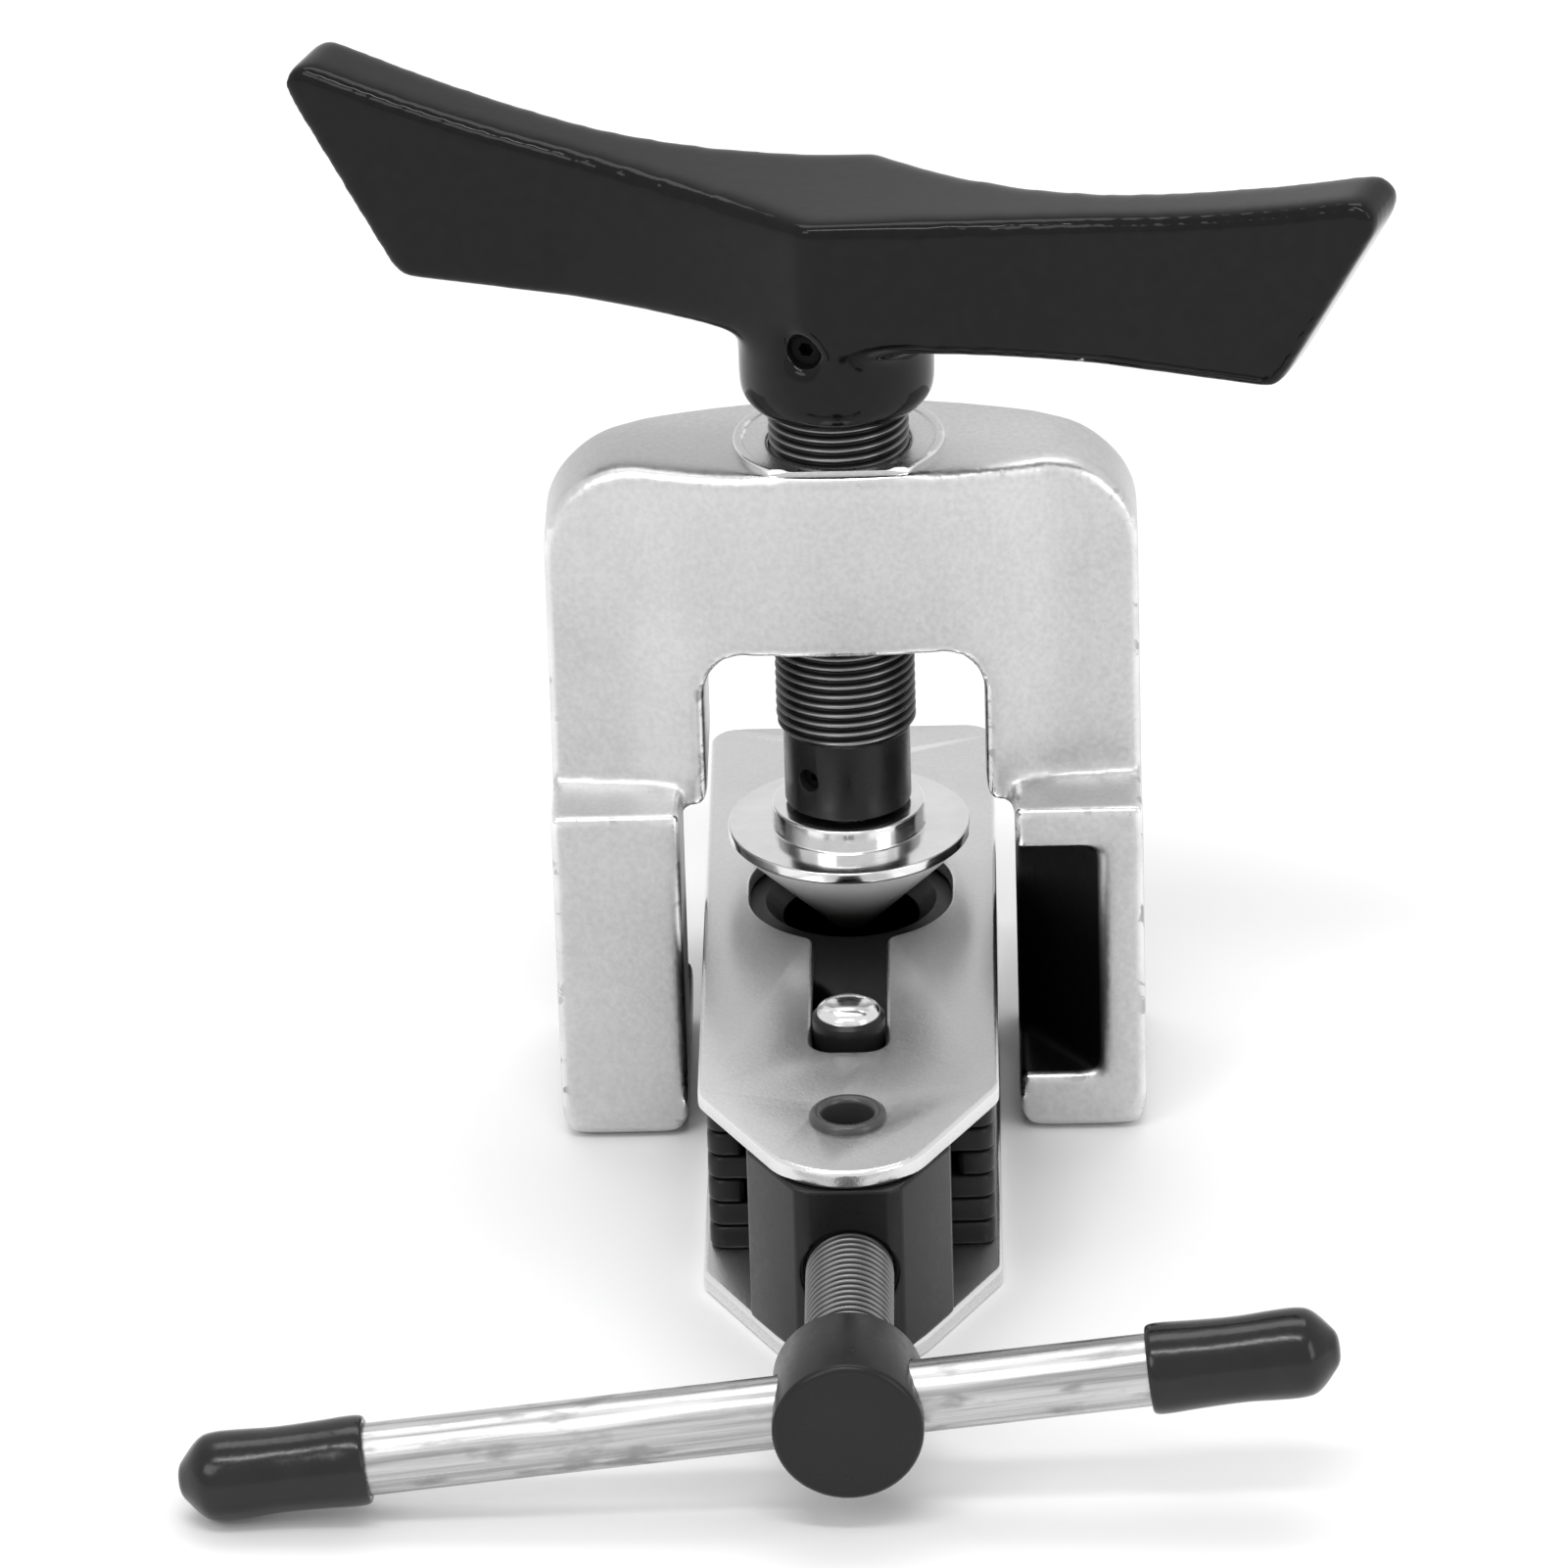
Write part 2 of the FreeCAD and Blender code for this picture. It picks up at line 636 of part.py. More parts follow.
# ---------------------------------------------------------------- clamp screw and bar
def make_clamp_screw():
    """The clamp screw lies along Y, with a drilled head for the sliding bar."""
    body = body_of("clamp_screw")
    sketch = sketch_in(body, "profile")
    groove = "Size.snap_groove_place"
    add_polygon(sketch, [
        ("0", "Size.clamp_tip_end"),
        ("Size.clamp_tip_radius - Size.small_chamfer", "Size.clamp_tip_end"),
        ("Size.clamp_tip_radius", "Size.clamp_tip_end - Size.small_chamfer"),
        ("Size.clamp_tip_radius", groove + " + Size.snap_half_width"),
        ("Size.snap_groove_radius", groove + " + Size.snap_half_width"),
        ("Size.snap_groove_radius", groove + " - Size.snap_half_width"),
        ("Size.clamp_tip_radius", groove + " - Size.snap_half_width"),
        ("Size.clamp_tip_radius", "Size.clamp_thread_start + 2.5"),
        ("Size.clamp_thread_radius", "Size.clamp_thread_start"),
        ("Size.clamp_thread_radius", "Size.clamp_thread_end"),
        ("Size.clamp_neck_radius", "Size.clamp_thread_end - Size.edge_break"),
        ("Size.clamp_neck_radius", "Size.clamp_thread_end - 1.5"),
        ("Size.clamp_head_radius", "Size.clamp_head_back"),
        ("Size.clamp_head_radius", "Size.clamp_head_front + Size.clamp_head_chamfer"),
        ("Size.clamp_head_radius - Size.clamp_head_chamfer", "Size.clamp_head_front"),
        ("0", "Size.clamp_head_front"),
    ])
    turn = body.newObject("PartDesign::Revolution", "clamp_screw_turn")
    turn.Profile = sketch
    turn.ReferenceAxis = (sketch, ["V_Axis"])
    turn.Angle = 360
    doc.recompute()
    hole = sketch_in(body, "bar_hole", "YZ_Plane")
    add_circle(hole, "Size.bar_hole_radius", x="Size.bar_place")
    pocket(body, hole)
    body.Placement.Rotation = Rotation(Vector(0, -1, 0), size["bar_tilt"])
    body.setExpression("Placement.Rotation.Angle", "Size.bar_tilt")
    move(body, z=MIDDLE)


def lay_on_bar(body):
    """Turn a piece modelled along Z so that it lies along the tilted bar."""
    body.Placement.Rotation = Rotation(Vector(0, 1, 0), 90 - size["bar_tilt"])
    body.setExpression("Placement.Rotation.Angle", "90 - Size.bar_tilt")
    move(body, y="Size.bar_place", z=MIDDLE)


def make_bar():
    """The sliding bar and the dipped vinyl caps on its ends."""
    bar = body_of("t_bar")
    turned(bar, [
        ("0", "Size.bar_left"),
        ("Size.bar_radius - Size.edge_break", "Size.bar_left"),
        ("Size.bar_radius", "Size.bar_left + Size.edge_break"),
        ("Size.bar_radius", "Size.bar_right - Size.edge_break"),
        ("Size.bar_radius - Size.edge_break", "Size.bar_right"),
        ("0", "Size.bar_right"),
    ])
    lay_on_bar(bar)
    for label, end, stop, sign in (("left", "Size.cap_left", "Size.bar_left", "+"),
                                   ("right", "Size.cap_right", "Size.bar_right", "-")):
        step = end + " " + sign + " "
        cap = body_of("bar_cap_" + label)
        turned(cap, [
            ("0", end),
            ("Size.cap_nose", end),
            ("Size.cap_radius - Size.edge_break", step + "(Size.cap_nose + Size.cap_shoulder)"),
            ("Size.cap_radius", step + "3.6"),
            ("Size.cap_radius", step + "6"),
            ("Size.cap_waist", step + "Size.cap_length / 2"),
            ("Size.cap_radius", step + "(Size.cap_length - 2.5)"),
            ("Size.cap_radius", step + "(Size.cap_length - Size.cap_shoulder)"),
            ("Size.cap_radius - Size.edge_break", step + "Size.cap_length"),
            ("Size.bar_radius", step + "Size.cap_length"),
            ("Size.bar_radius", stop + " " + sign + " Size.edge_break"),
            ("Size.bar_radius - Size.edge_break", stop),
            ("0", stop),
        ])
        lay_on_bar(cap)


# ---------------------------------------------------------------- yoke
def round_arch_corners(body, x, height, radius):
    """Fillet the front-to-back edges at both sides of the arch."""
    names = []
    for number, edge in enumerate(body.Shape.Edges, start=1):
        points = [vertex.Point for vertex in edge.Vertexes]
        placed = all(abs(abs(point.x) - x) < 0.05 and abs(point.z - height) < 0.05
                     for point in points)
        if placed and abs(points[0].x - points[-1].x) < 0.05:
            names.append("Edge%d" % number)
    base = body.Tip
    feature = body.newObject("PartDesign::Fillet", base.Name + "_round")
    feature.Base = (base, names)
    feature.setExpression("Radius", radius)
    doc.recompute()


def make_yoke():
    """An arch with a thicker bridge on two hooked legs. It looks the same turned half round."""
    body = body_of("yoke")
    arch = sketch_in(body, "arch", "XZ_Plane")
    add_polygon(arch, mirrored([
        ("Size.arch_half_width", "Size.arch_ceiling"),
        ("Size.arch_half_width", "Size.arm_bottom"),
        ("Size.yoke_half_width", "Size.arm_bottom"),
        ("Size.yoke_half_width", "Size.yoke_height"),
    ]))
    pad(body, arch, "2 * (Size.back_depth + Size.overcut)", both_ways=True)
    round_arch_corners(body, size["yoke_half_width"], size["yoke_height"],
                       "Size.yoke_corner_radius")
    round_arch_corners(body, size["arch_half_width"], size["arch_ceiling"],
                       "Size.arch_corner_radius")
    round_arch_corners(body, size["arch_half_width"], size["arm_bottom"],
                       "Size.leg_corner_radius")
    ring = sketch_in(body, "ring", lift="Size.yoke_height")
    add_circle(ring, "Size.yoke_ring_radius")
    pad(body, ring, "Size.yoke_ring_rise")
    for label, sign in (("front", -1), ("back", 1)):
        relief = sketch_in(body, label + "_relief")
        crown = Vector(0, sign * size[label + "_depth"], 0)
        arm_depth = sign * size["arm_half_depth"]
        right = [
            Vector(size[label + "_taper"], sign * size[label + "_taper_depth"], 0),
            Vector(size["yoke_half_width"], arm_depth, 0),
            Vector(2 * size["yoke_half_width"], arm_depth, 0),
            Vector(2 * size["yoke_half_width"], 2 * sign * size["back_depth"], 0),
        ]
        left = [Vector(-point.x, point.y, 0) for point in right]
        relief.addGeometry(Part.Arc(left[0], crown, right[0]), False)
        for chain in (left, right):
            for start, end in zip(chain, chain[1:]):
                relief.addGeometry(Part.LineSegment(start, end), False)
        relief.addGeometry(Part.LineSegment(left[-1], right[-1]), False)
        pocket(body, relief, "Size.through_all")
    for label, sign in (("right", ""), ("left", "-")):
        leg = sketch_in(body, label + "_leg")
        add_polygon(leg, [
            (sign + "Size.leg_inner", "-Size.leg_half_depth"),
            (sign + "Size.yoke_half_width", "-Size.leg_half_depth"),
            (sign + "Size.yoke_half_width", "Size.leg_half_depth"),
            (sign + "Size.leg_inner", "Size.leg_half_depth"),
        ])
        pad(body, leg, "Size.leg_height")
    for label, sign, other in (("right", "", "-"), ("left", "-", "")):
        hook = sketch_in(body, label + "_hook", lift="Size.hook_bottom")
        inside = sign + "(Size.leg_inner - Size.hook_overrun)"
        outside = other + "(Size.leg_half_depth + Size.hook_overrun)"
        add_polygon(hook, [
            (inside, outside),
            (sign + "Size.hook_outer", outside),
            (inside, sign + "Size.hook_depth"),
        ])
        pocket(body, hook, "Size.hook_top - Size.hook_bottom", both_ways=False, reverse=True)
    bore = sketch_in(body, "bore", lift="Size.yoke_height")
    add_circle(bore, "Size.yoke_bore_radius")
    pocket(body, bore, "2 * (Size.yoke_height - Size.arch_ceiling + 3)")


# ---------------------------------------------------------------- feed screw and cone
def make_feed_screw():
    """The feed screw. Its sleeve holds the cone's shank and the screw that retains it."""
    body = body_of("feed_screw")
    turned(body, [
        ("0", "Size.socket_top"),
        ("Size.socket_radius", "Size.socket_top"),
        ("Size.socket_radius", "Size.sleeve_bottom"),
        ("Size.sleeve_radius", "Size.sleeve_bottom"),
        ("Size.sleeve_radius", "Size.feed_thread_bottom - Size.overcut"),
        ("Size.feed_thread_radius", "Size.feed_thread_bottom"),
        ("Size.feed_thread_radius", "Size.feed_thread_top"),
        ("Size.feed_spigot_radius", "Size.feed_thread_top"),
        ("Size.feed_spigot_radius", "Size.feed_spigot_top"),
        ("0", "Size.feed_spigot_top"),
    ])
    hole = sketch_in(body, "screw_hole", "XZ_Plane", "Size.sleeve_radius + Size.overcut")
    add_circle(hole, "Size.sleeve_screw_radius", y="Size.sleeve_screw_height")
    pocket(body, hole, "Size.sleeve_radius + Size.overcut - Size.shank_groove_radius", both_ways=False)
    yaw(body, "Size.sleeve_screw_degrees", size["sleeve_screw_degrees"])


def yaw(body, expression, degrees):
    """Turn a body about the feed axis."""
    axis = Vector(0, 0, 1) if degrees > 0 else Vector(0, 0, -1)
    body.Placement.Rotation = Rotation(axis, abs(degrees))
    sign = "" if degrees > 0 else "-"
    body.setExpression("Placement.Rotation.Angle", sign + expression)


def make_radial_screw(name, radius, inner, outer, height, socket_radius):
    """A headless set screw along -Y in its body's frame, with a six-sided socket outside."""
    body = body_of(name)
    rod = sketch_in(body, "rod", "XZ_Plane", inner)
    add_circle(rod, radius, y=height)
    pad(body, rod, "%s - %s" % (outer, inner))
    socket = sketch_in(body, "socket", "XZ_Plane", outer)
    turns = [math.radians(60 * step) for step in range(6)]
    add_polygon(socket, [("%s * %.4f" % (socket_radius, math.cos(turn)),
                          "%s + %s * %.4f" % (height, socket_radius, math.sin(turn)))
                         for turn in turns])
    pocket(body, socket, "Size.hex_socket_depth", both_ways=False)
    return body


def make_cone():
    """The flaring cone with its rim, hub and grooved shank, and the thrust ball on the shank."""
    rim_bottom = "Size.cone_tip + Size.cone_radius"
    rim_top = rim_bottom + " + Size.rim_rise"
    hub_top = rim_top + " + Size.hub_rise"
    body = body_of("flaring_cone")
    turned(body, [
        ("0", "Size.cone_tip"),
        ("Size.cone_radius", rim_bottom),
        ("Size.rim_radius", rim_bottom + " + Size.hair_gap"),
        ("Size.rim_radius", rim_top),
        ("Size.hub_radius", rim_top),
        ("Size.hub_radius", hub_top + " - Size.fine_chamfer"),
        ("Size.hub_radius - Size.fine_chamfer", hub_top),
        ("Size.shank_radius", hub_top),
        ("Size.shank_radius", "Size.sleeve_screw_height - Size.shank_groove_half"),
        ("Size.shank_groove_radius", "Size.sleeve_screw_height - Size.shank_groove_half"),
        ("Size.shank_groove_radius", "Size.sleeve_screw_height + Size.shank_groove_half"),
        ("Size.shank_radius", "Size.sleeve_screw_height + Size.shank_groove_half"),
        ("Size.shank_radius", "Size.shank_top"),
        ("0", "Size.shank_top"),
    ])
    ball = doc.addObject("Part::Sphere", "thrust_ball")
    ball.setExpression("Radius", "Size.ball_radius")
    move(ball, z="Size.shank_top + Size.ball_radius + Size.ball_gap")
    finished(ball, "thrust_ball")


# ---------------------------------------------------------------- handle
def make_handle():
    """The wing handle: a curved bar that is long and thin, on a round boss."""
    body = body_of("feed_handle")
    front = sketch_in(body, "front_view", "XZ_Plane")
    saddle = beside(0, size["handle_saddle"])
    feet = [beside(side * size["handle_foot"], size["handle_bottom"]) for side in (-1, 1)]
    tips = [
        beside(-size["left_reach"], size["handle_saddle"] + size["left_rise"]),
        beside(size["right_reach"], size["handle_saddle"] + size["right_rise"]),
    ]
    front.addGeometry(Part.LineSegment(feet[0], feet[1]), False)
    front.addGeometry(Part.LineSegment(feet[1], tips[1]), False)
    front.addGeometry(Part.Arc(tips[1], saddle, tips[0]), False)
    front.addGeometry(Part.LineSegment(tips[0], feet[0]), False)
    pad(body, front, "2 * Size.handle_hub_half", both_ways=True)
    round_across(body, feet, "Size.handle_foot_radius")
    round_across(body, tips, "Size.handle_tip_radius")
    for label, sign in (("front", -1), ("back", 1)):
        relief = sketch_in(body, label + "_relief")
        hub = beside(0, sign * size["handle_hub_half"])
        outlines = []
        for side, reach in ((-1, size["left_reach"]), (1, size["right_reach"])):
            flank = beside(side * size["handle_flank"], sign * size["handle_flank_half"])
            neck = beside(side * size["handle_neck"], sign * size["handle_neck_half"])
            tip = beside(side * (reach + size["overcut"]), sign * size["handle_tip_half"])
            relief.addGeometry(Part.Arc(hub, flank, neck), False)
            relief.addGeometry(Part.LineSegment(neck, tip), False)
            outlines.append(tip)
        far = [Vector(tip.x, 2 * hub.y, 0) for tip in outlines]
        relief.addGeometry(Part.LineSegment(outlines[0], far[0]), False)
        relief.addGeometry(Part.LineSegment(far[0], far[1]), False)
        relief.addGeometry(Part.LineSegment(far[1], outlines[1]), False)
        pocket(body, relief, "Size.through_all")
    boss = sketch_in(body, "boss", lift="Size.boss_bottom")
    add_circle(boss, "Size.boss_radius")
    pad(body, boss, "Size.handle_bottom + Size.overcut - Size.boss_bottom")
    names = []
    for number, edge in enumerate(body.Shape.Edges, start=1):
        if abs(edge.BoundBox.ZMax - size["boss_bottom"]) < 0.01:
            names.append("Edge%d" % number)
    base = body.Tip
    chamfer = body.newObject("PartDesign::Chamfer", "boss_chamfer_feature")
    chamfer.Base = (base, names)
    chamfer.setExpression("Size", "Size.boss_chamfer")
    doc.recompute()
    thread = sketch_in(body, "thread_bore", lift="Size.boss_bottom")
    add_circle(thread, "Size.feed_thread_radius + Size.handle_gap")
    pocket(body, thread, "2 * (Size.feed_thread_top - Size.boss_bottom)")
    spigot = sketch_in(body, "spigot_bore", lift="Size.boss_bottom")
    add_circle(spigot, "Size.feed_spigot_radius + Size.handle_gap")
    pocket(body, spigot, "2 * (Size.feed_spigot_top - Size.boss_bottom)")
    hole = sketch_in(body, "screw_hole", "XZ_Plane", "Size.boss_radius + Size.overcut")
    add_circle(hole, "Size.handle_screw_radius", y="Size.handle_screw_height")
    depth = "Size.boss_radius + Size.overcut - Size.feed_spigot_radius + Size.screw_overrun"
    pocket(body, hole, depth, both_ways=False)
    yaw(body, "Size.handle_yaw", size["handle_yaw"])


def beside(across, along):
    """A sketch point measured from the middle of the wings, which is a little off the boss."""
    return Vector(across + size["handle_offset"], along, 0)


def round_across(body, corners, radius):
    """Fillet the body's front-to-back edges at the given (x, z) corners."""
    names = []
    for number, edge in enumerate(body.Shape.Edges, start=1):
        for corner in corners:
            ends = [vertex.Point for vertex in edge.Vertexes]
            if all(math.hypot(end.x - corner.x, end.z - corner.y) < 0.05 for end in ends):
                names.append("Edge%d" % number)
    base = body.Tip
    feature = body.newObject("PartDesign::Fillet", base.Name + "_round")
    feature.Base = (base, names)
    feature.setExpression("Radius", radius)
    doc.recompute()


# ---------------------------------------------------------------- the assembly
make_plate("bottom_plate", "0", True)
make_plate("top_plate", STACK, False)
for leaf in range(1, LEAF_COUNT + 1):
    make_leaf(leaf)
make_nut_block()
make_rivets()
make_clamp_pin()
make_clamp_screw()
make_bar()
make_yoke()
make_feed_screw()
make_cone()
cone_screw = make_radial_screw("cone_retaining_screw", "Size.sleeve_screw_radius",
                               "Size.sleeve_screw_inner", "Size.sleeve_screw_outer",
                               "Size.sleeve_screw_height", "0.6 * Size.hex_socket_radius")
yaw(cone_screw, "Size.sleeve_screw_degrees", size["sleeve_screw_degrees"])
make_handle()
handle_screw = make_radial_screw("handle_set_screw", "Size.handle_screw_radius",
                                 "Size.handle_screw_inner", "Size.handle_screw_outer",
                                 "Size.handle_screw_height", "Size.hex_socket_radius")
yaw(handle_screw, "Size.handle_yaw", size["handle_yaw"])
doc.recompute()

# ---------------------------------------------------------------- checks and files
for item in doc.Objects:
    if "Invalid" in item.State or "Error" in item.State:
        raise RuntimeError(item.Name + " failed to build")
os.makedirs("parts", exist_ok=True)
for part in PARTS:
    shape = part.Shape
    if shape.isNull() or not shape.isValid() or len(shape.Solids) != 1:
        raise RuntimeError(part.Label + " is not one valid solid")
    shape.exportStep("parts/%s.step" % part.Label)
    box = shape.BoundBox
    print("%-22s %9.1f mm3  x %7.2f %7.2f  y %8.2f %7.2f  z %7.2f %7.2f"
          % (part.Label, shape.Volume, box.XMin, box.XMax, box.YMin, box.YMax, box.ZMin, box.ZMax))
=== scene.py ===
import math

import bmesh
import bpy
from mathutils import Matrix, Vector


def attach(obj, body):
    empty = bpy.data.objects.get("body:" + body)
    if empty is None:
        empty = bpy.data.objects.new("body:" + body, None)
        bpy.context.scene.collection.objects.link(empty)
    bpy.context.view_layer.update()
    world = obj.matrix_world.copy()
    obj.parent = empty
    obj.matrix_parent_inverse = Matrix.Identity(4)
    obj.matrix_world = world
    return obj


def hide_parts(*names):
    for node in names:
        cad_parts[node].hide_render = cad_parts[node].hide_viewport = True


# Flaring tool on a pale floor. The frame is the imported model: metres, +Z up along the feed
# screw, -Y towards the clamp screw's head, and Z = 0 under the bottom plate and the yoke.

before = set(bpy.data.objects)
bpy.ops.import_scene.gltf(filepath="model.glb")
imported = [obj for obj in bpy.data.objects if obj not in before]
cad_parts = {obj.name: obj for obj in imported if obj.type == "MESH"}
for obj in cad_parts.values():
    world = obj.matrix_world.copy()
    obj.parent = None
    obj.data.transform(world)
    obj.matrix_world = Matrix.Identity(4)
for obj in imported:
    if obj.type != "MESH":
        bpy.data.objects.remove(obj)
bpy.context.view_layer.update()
MM = 0.001

# Sizes shared by several pieces: lengths in mm, the tilt in radians.
SCREW_HEIGHT = 12.8
BAR_PLACE = -101.7
BAR_TILT = math.radians(6.3)
PIN_PLACE = -37
LEAF_COUNT = 7
FEED_RADIUS = 8.12
CLAMP_RADIUS = 4.95

# The thread's form: a flat crest, a straight flank and a short fade at each end.
PITCH = 1.2
CREST_SHARE = 0.16
FLANK_SHARE = 0.72
THREAD_FADE = 0.8
THREAD_OVERRUN = 0.4
ROWS_PER_TURN = 12

WELD_GAP = 0.002
NO_RADIUS = 1e-6
SMOOTH_DEGREES = 32


# ---------------------------------------------------------------- mesh helpers
def rise(value, start, span):
    """Nought up to start and one from start + span on."""
    return min(max((value - start) / span, 0.0), 1.0)


def add_object(name, data):
    obj = bpy.data.objects.new(name, data)
    bpy.context.scene.collection.objects.link(obj)
    return obj


def object_from(bm, name):
    """A new object that takes over what bm holds."""
    mesh = bpy.data.meshes.new(name)
    bm.to_mesh(mesh)
    bm.free()
    return add_object(name, mesh)


def edit(mesh, work):
    """Run work(bm) on the mesh."""
    bm = bmesh.new()
    bm.from_mesh(mesh)
    work(bm)
    bm.to_mesh(mesh)
    bm.free()
    mesh.update()


def shade(mesh, degrees=SMOOTH_DEGREES):
    """Smooth shading that stays crisp across sharp edges."""
    limit = math.radians(degrees)

    def work(bm):
        for face in bm.faces:
            face.smooth = True
        for edge in bm.edges:
            edge.smooth = len(edge.link_faces) == 2 and edge.calc_face_angle(0.0) < limit
    edit(mesh, work)


def bake_modifiers(obj):
    """Make what the modifiers give the object's own mesh."""
    graph = bpy.context.evaluated_depsgraph_get()
    mesh = bpy.data.meshes.new_from_object(obj.evaluated_get(graph))
    obj.modifiers.clear()
    obj.data = mesh


def copy_of(node, name):
    """A welded copy of a CAD node's mesh, free of its normals and material."""
    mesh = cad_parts[node].data.copy()
    for label in ("custom_normal", "sharp_edge", "sharp_face"):
        if label in mesh.attributes:
            mesh.attributes.remove(mesh.attributes[label])
    mesh.materials.clear()
    edit(mesh, lambda bm: bmesh.ops.remove_doubles(bm, verts=bm.verts, dist=WELD_GAP * MM))
    return add_object(name, mesh)


def bevelled(node, name, width, segments=3, crease=35, spare=None):
    """A CAD node's copy whose outside edges over crease degrees are rounded, unless spared."""
    obj = copy_of(node, name)
    flat = math.radians(0.6)

    def weigh(bm):
        bmesh.ops.dissolve_limit(bm, angle_limit=flat, verts=bm.verts, edges=bm.edges)
        weights = bm.edges.layers.float.new("bevel_weight_edge")
        for edge in bm.edges:
            sharp = edge.is_convex and edge.calc_face_angle(0.0) > math.radians(crease)
            middle = (edge.verts[0].co + edge.verts[1].co) / (2 * MM)
            edge[weights] = 1.0 if sharp and not (spare and spare(middle)) else 0.0
    edit(obj.data, weigh)
    bevel = obj.modifiers.new("bevel", "BEVEL")
    bevel.width = width * MM
    bevel.segments = segments
    bevel.limit_method = "WEIGHT"
    bevel.use_clamp_overlap = False
    bake_modifiers(obj)
    shade(obj.data, crease - 3)
    return obj


def cast(node, name, voxel, rounds_at, ratio=1.0):
    """A copy of a CAD node with a casting's soft edges, smoothed rounds_at(point in mm) times."""
    obj = copy_of(node, name)
    remesh = obj.modifiers.new("remesh", "REMESH")
    remesh.mode = "VOXEL"
    remesh.voxel_size = voxel * MM
    bake_modifiers(obj)

    def soften(bm):
        rounds = [(rounds_at(vert.co / MM), vert) for vert in bm.verts]
        for done in range(max(count for count, vert in rounds)):
            group = [vert for count, vert in rounds if count > done]
            bmesh.ops.smooth_vert(bm, verts=group, factor=0.5, use_axis_x=True,
                                  use_axis_y=True, use_axis_z=True)
    edit(obj.data, soften)
    if ratio < 1.0:
        decimate = obj.modifiers.new("decimate", "DECIMATE")
        decimate.ratio = ratio
        bake_modifiers(obj)
    shade(obj.data, 50)
    return obj


def rounded_profile(points, steps=4):
    """A profile of (radius, height, fillet) corners as (radius, height) points."""
    result = []
    count = len(points)
    for index, (radius, height, fillet) in enumerate(points):
        here = Vector((radius, height))
        if fillet <= 0 or index in (0, count - 1):
            result.append(here)
            continue
        before = Vector(points[index - 1][:2])
        after = Vector(points[index + 1][:2])
        reach_in = min(fillet, (before - here).length * 0.49)
        reach_out = min(fillet, (after - here).length * 0.49)
        start = here + (before - here).normalized() * reach_in
        end = here + (after - here).normalized() * reach_out
        for step in range(steps + 1):
            t = step / steps
            result.append(start * (1 - t) ** 2 + here * (2 * t * (1 - t)) + end * t ** 2)
    return result


def lathe(name, points, place=Matrix(), segments=96, closed=False):
    """A turned piece from (radius, height) points in mm about its own Z, put at place."""
    bm = bmesh.new()
    rings = []
    for point in points:
        radius, height = point
        if radius < NO_RADIUS:
            rings.append([bm.verts.new((0, 0, height * MM))])
            continue
        ring = []
        for step in range(segments):
            turn = 2 * math.pi * step / segments
            ring.append(bm.verts.new((radius * MM * math.cos(turn), radius * MM * math.sin(turn),
                                      height * MM)))
        rings.append(ring)
    pairs = list(zip(rings, rings[1:]))
    if closed:
        pairs.append((rings[-1], rings[0]))
    return skinned(bm, name, pairs, place, SMOOTH_DEGREES)


def skinned(bm, name, pairs, place, degrees):
    """Skin between each pair of rings and put the piece at place."""
    for low, high in pairs:
        join_rings(bm, low, high)
    bmesh.ops.recalc_face_normals(bm, faces=bm.faces)
    bmesh.ops.transform(bm, matrix=place, verts=bm.verts)
    obj = object_from(bm, name)
    shade(obj.data, degrees)
    return obj


def join_rings(bm, low, high):
    """Faces between two rings of vertices, either of which can be a single point."""
    segments = max(len(low), len(high))
    if segments == 1:
        return
    for step in range(segments):
        following = (step + 1) % segments
        if len(low) == 1:
            bm.faces.new((low[0], high[step], high[following]))
        elif len(high) == 1:
            bm.faces.new((low[step], low[following], high[0]))
        else:
            bm.faces.new((low[step], low[following], high[following], high[step]))


def thread_depth(height, turn, depth, start, end):
    """How deep a right-hand thread is cut at a height and an angle, fading at both ends."""
    phase = (height / PITCH - turn / (2 * math.pi)) % 1.0
    off_crest = abs(phase - 0.5) * 2
    groove = rise(off_crest, CREST_SHARE, FLANK_SHARE)
    fade = min(rise(height, start, THREAD_FADE), rise(end - height, 0.0, THREAD_FADE))
    return depth * groove * fade


def threaded_rod(name, radius, start, end, depth, chamfer, place=Matrix(), segments=96):
    """A closed rod about its own Z, with a real helical thread."""
    rows = int((end - start) / PITCH * ROWS_PER_TURN)
    first = start - THREAD_OVERRUN
    last = end + THREAD_OVERRUN
    bm = bmesh.new()
    rings = [[bm.verts.new((0, 0, start * MM))]]
    for row in range(rows + 1):
        height = start + (end - start) * row / rows
        inset = max(0.0, chamfer - min(height - start, end - height))
        ring = []
        for step in range(segments):
            turn = 2 * math.pi * step / segments
            cut = max(thread_depth(height, turn, depth, first, last), inset)
            reach = (radius - cut) * MM
            ring.append(bm.verts.new((reach * math.cos(turn), reach * math.sin(turn), height * MM)))
        rings.append(ring)
    rings.append([bm.verts.new((0, 0, end * MM))])
    return skinned(bm, name, zip(rings, rings[1:]), place, 60)


def box_mesh(name, low, high):
    """A box between two corners in mm."""
    bm = bmesh.new()
    bmesh.ops.create_cube(bm, size=1.0)
    for vert in bm.verts:
        for axis in range(3):
            vert.co[axis] = (low[axis] if vert.co[axis] < 0 else high[axis]) * MM
    return object_from(bm, name)


def combine(obj, tool, operation):
    """Boolean obj with tool, which is used up."""
    boolean = obj.modifiers.new("boolean", "BOOLEAN")
    boolean.operation = operation
    boolean.solver = "EXACT"
    boolean.object = tool
    bpy.context.view_layer.update()
    bake_modifiers(obj)
    bpy.data.objects.remove(tool)


